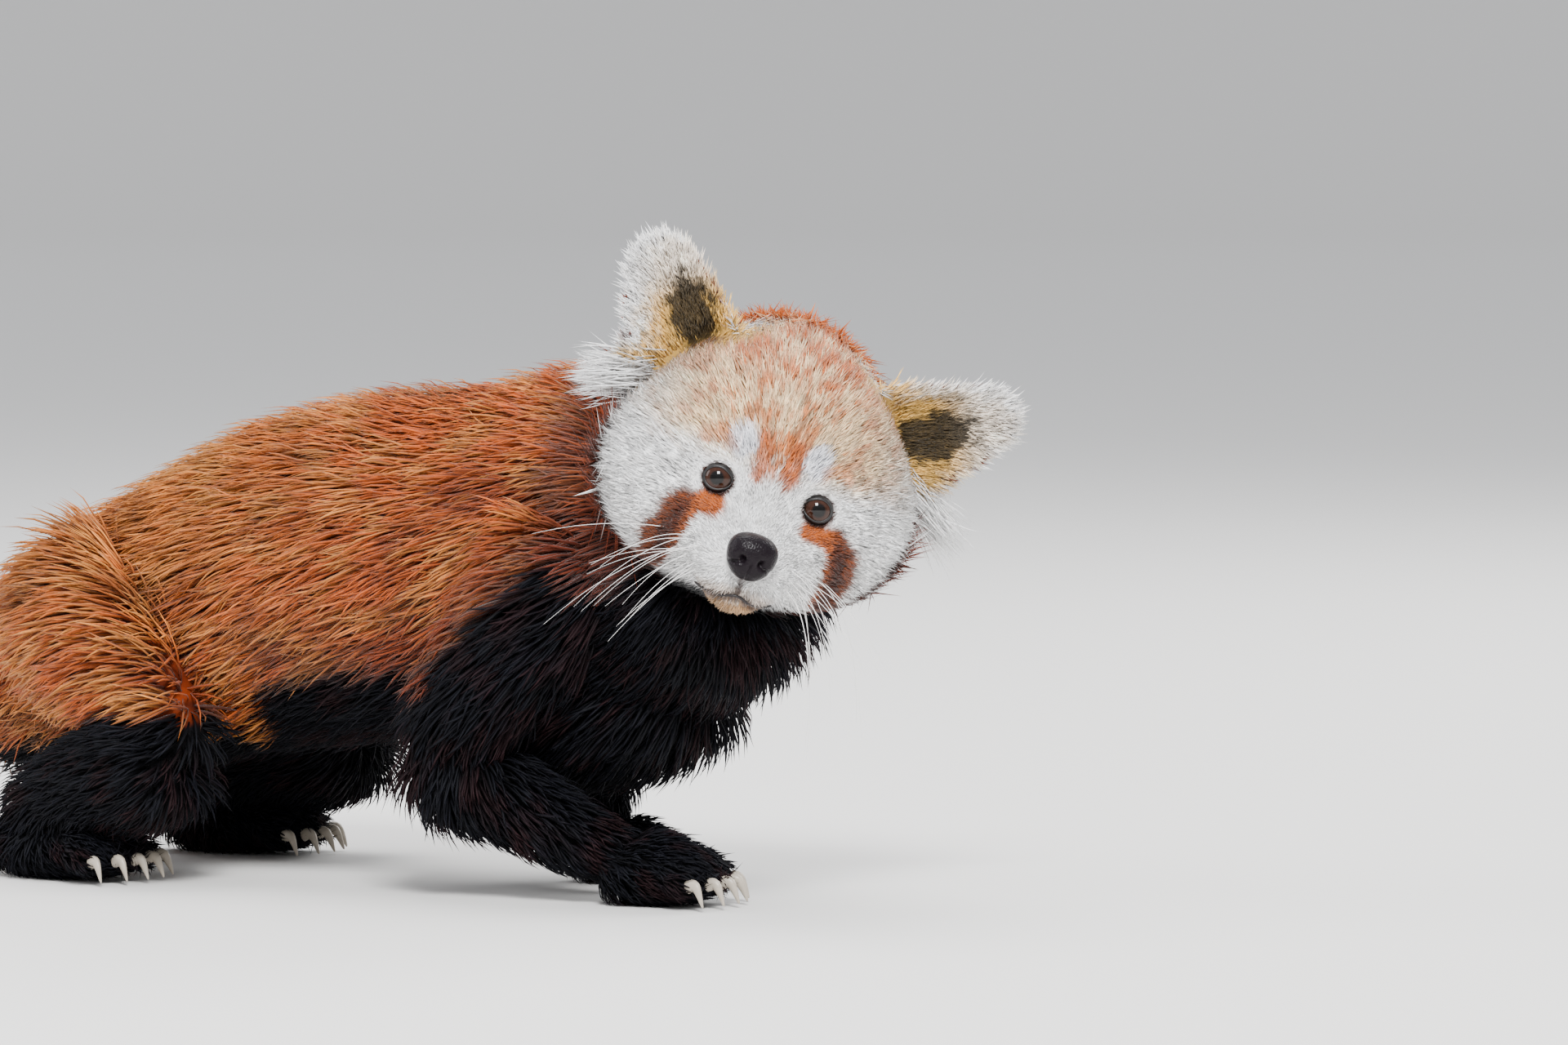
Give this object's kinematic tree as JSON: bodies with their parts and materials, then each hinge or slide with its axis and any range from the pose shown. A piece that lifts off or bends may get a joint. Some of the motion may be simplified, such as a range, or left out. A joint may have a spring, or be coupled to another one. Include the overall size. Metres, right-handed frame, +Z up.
{
  "type": "red panda",
  "caption": "Life-size still red panda, standing low on four feet with its head turned and tilted and its bushy tail on the floor.",
  "frame": {"origin": "on the floor under the middle of the whole model", "axes": "+X from the tail towards the chest, +Y to the animal's left, +Z up"},
  "size_m": [0.8856, 0.3288, 0.3045],
  "materials": {
    "face_coat": "soft short fur, white and rust",
    "ear_coat": "soft cream fur",
    "red_coat": "long rust red fur",
    "dark_coat": "long black fur",
    "tail_coat": "bushy ringed fur",
    "eye_surface": "wet dark brown",
    "nose_leather": "moist black leather",
    "claw_horn": "pale worn horn"
  },
  "bodies": {
    "root": {"ear_left": "ear_coat", "ear_right": "ear_coat", "eye_left": "eye_surface", "eye_right": "eye_surface", "head": "face_coat", "left_forearm": "dark_coat", "left_forepaw": "dark_coat", "left_forepaw_claw_1": "claw_horn", "left_forepaw_claw_2": "claw_horn", "left_forepaw_claw_3": "claw_horn", "left_forepaw_claw_4": "claw_horn", "left_forepaw_claw_5": "claw_horn", "left_hindfoot": "dark_coat", "left_hindfoot_claw_1": "claw_horn", "left_hindfoot_claw_2": "claw_horn", "left_hindfoot_claw_3": "claw_horn", "left_hindfoot_claw_4": "claw_horn", "left_hindfoot_claw_5": "claw_horn", "left_shank": "dark_coat", "left_thigh": "dark_coat", "left_upper_arm": "dark_coat", "neck": "red_coat", "nose": "nose_leather", "right_forearm": "dark_coat", "right_forepaw": "dark_coat", "right_forepaw_claw_1": "claw_horn", "right_forepaw_claw_2": "claw_horn", "right_forepaw_claw_3": "claw_horn", "right_forepaw_claw_4": "claw_horn", "right_forepaw_claw_5": "claw_horn", "right_hindfoot": "dark_coat", "right_hindfoot_claw_1": "claw_horn", "right_hindfoot_claw_2": "claw_horn", "right_hindfoot_claw_3": "claw_horn", "right_hindfoot_claw_4": "claw_horn", "right_hindfoot_claw_5": "claw_horn", "right_shank": "dark_coat", "right_thigh": "dark_coat", "right_upper_arm": "dark_coat", "tail_middle": "tail_coat", "tail_ring_end": "tail_coat", "tail_root": "tail_coat", "tail_tip": "tail_coat", "torso": "red_coat"}
  },
  "joints": []
}
